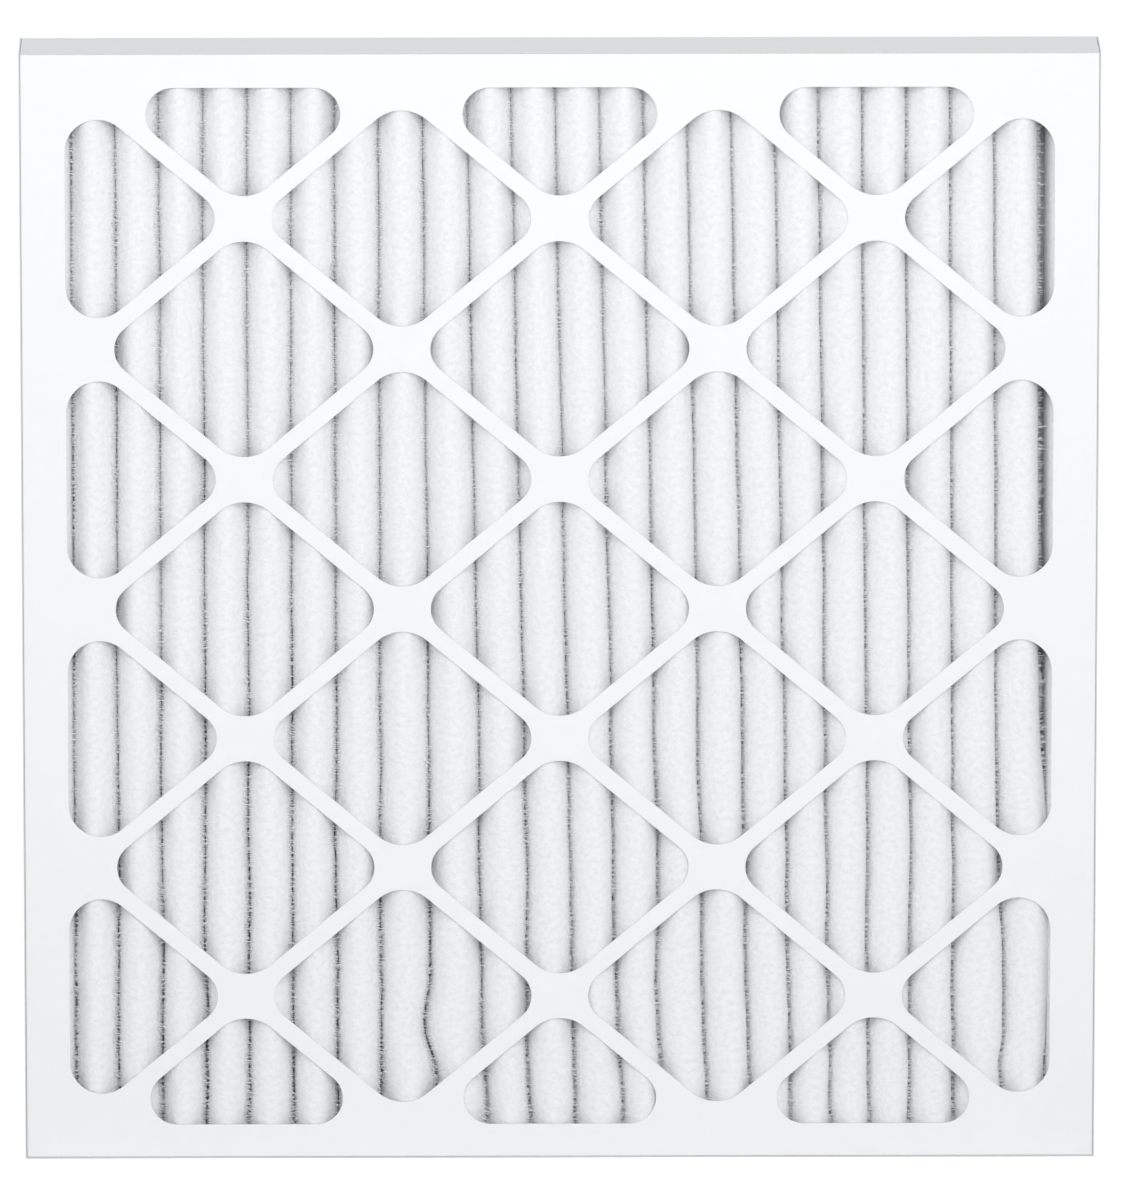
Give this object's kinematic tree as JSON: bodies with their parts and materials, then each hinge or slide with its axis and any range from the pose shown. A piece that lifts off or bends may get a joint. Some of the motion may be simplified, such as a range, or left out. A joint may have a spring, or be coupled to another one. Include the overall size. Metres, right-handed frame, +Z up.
{
  "type": "pleated panel air filter",
  "caption": "Rectangular panel air filter: upright rounded pleats of white filter sheet held in a shallow paperboard frame with a die-cut diamond grille on both faces.",
  "frame": {"origin": "middle of the bottom edge strip that the filter stands on, half way through its depth", "axes": "+X across the width, +Y from the air-entering front face to the rear face, +Z up the height, along the pleats"},
  "size_m": [0.594, 0.0446, 0.626],
  "materials": {
    "paperboard": "white clay-coated paperboard, matt",
    "filter_sheet": "lofty white polyester fibre sheet, unfinished",
    "grid_wire": "galvanised steel wire"
  },
  "bodies": {
    "root": {"front_frame": "paperboard", "rear_frame": "paperboard", "pleated_media": "filter_sheet", "support_grid": "grid_wire"}
  },
  "joints": []
}
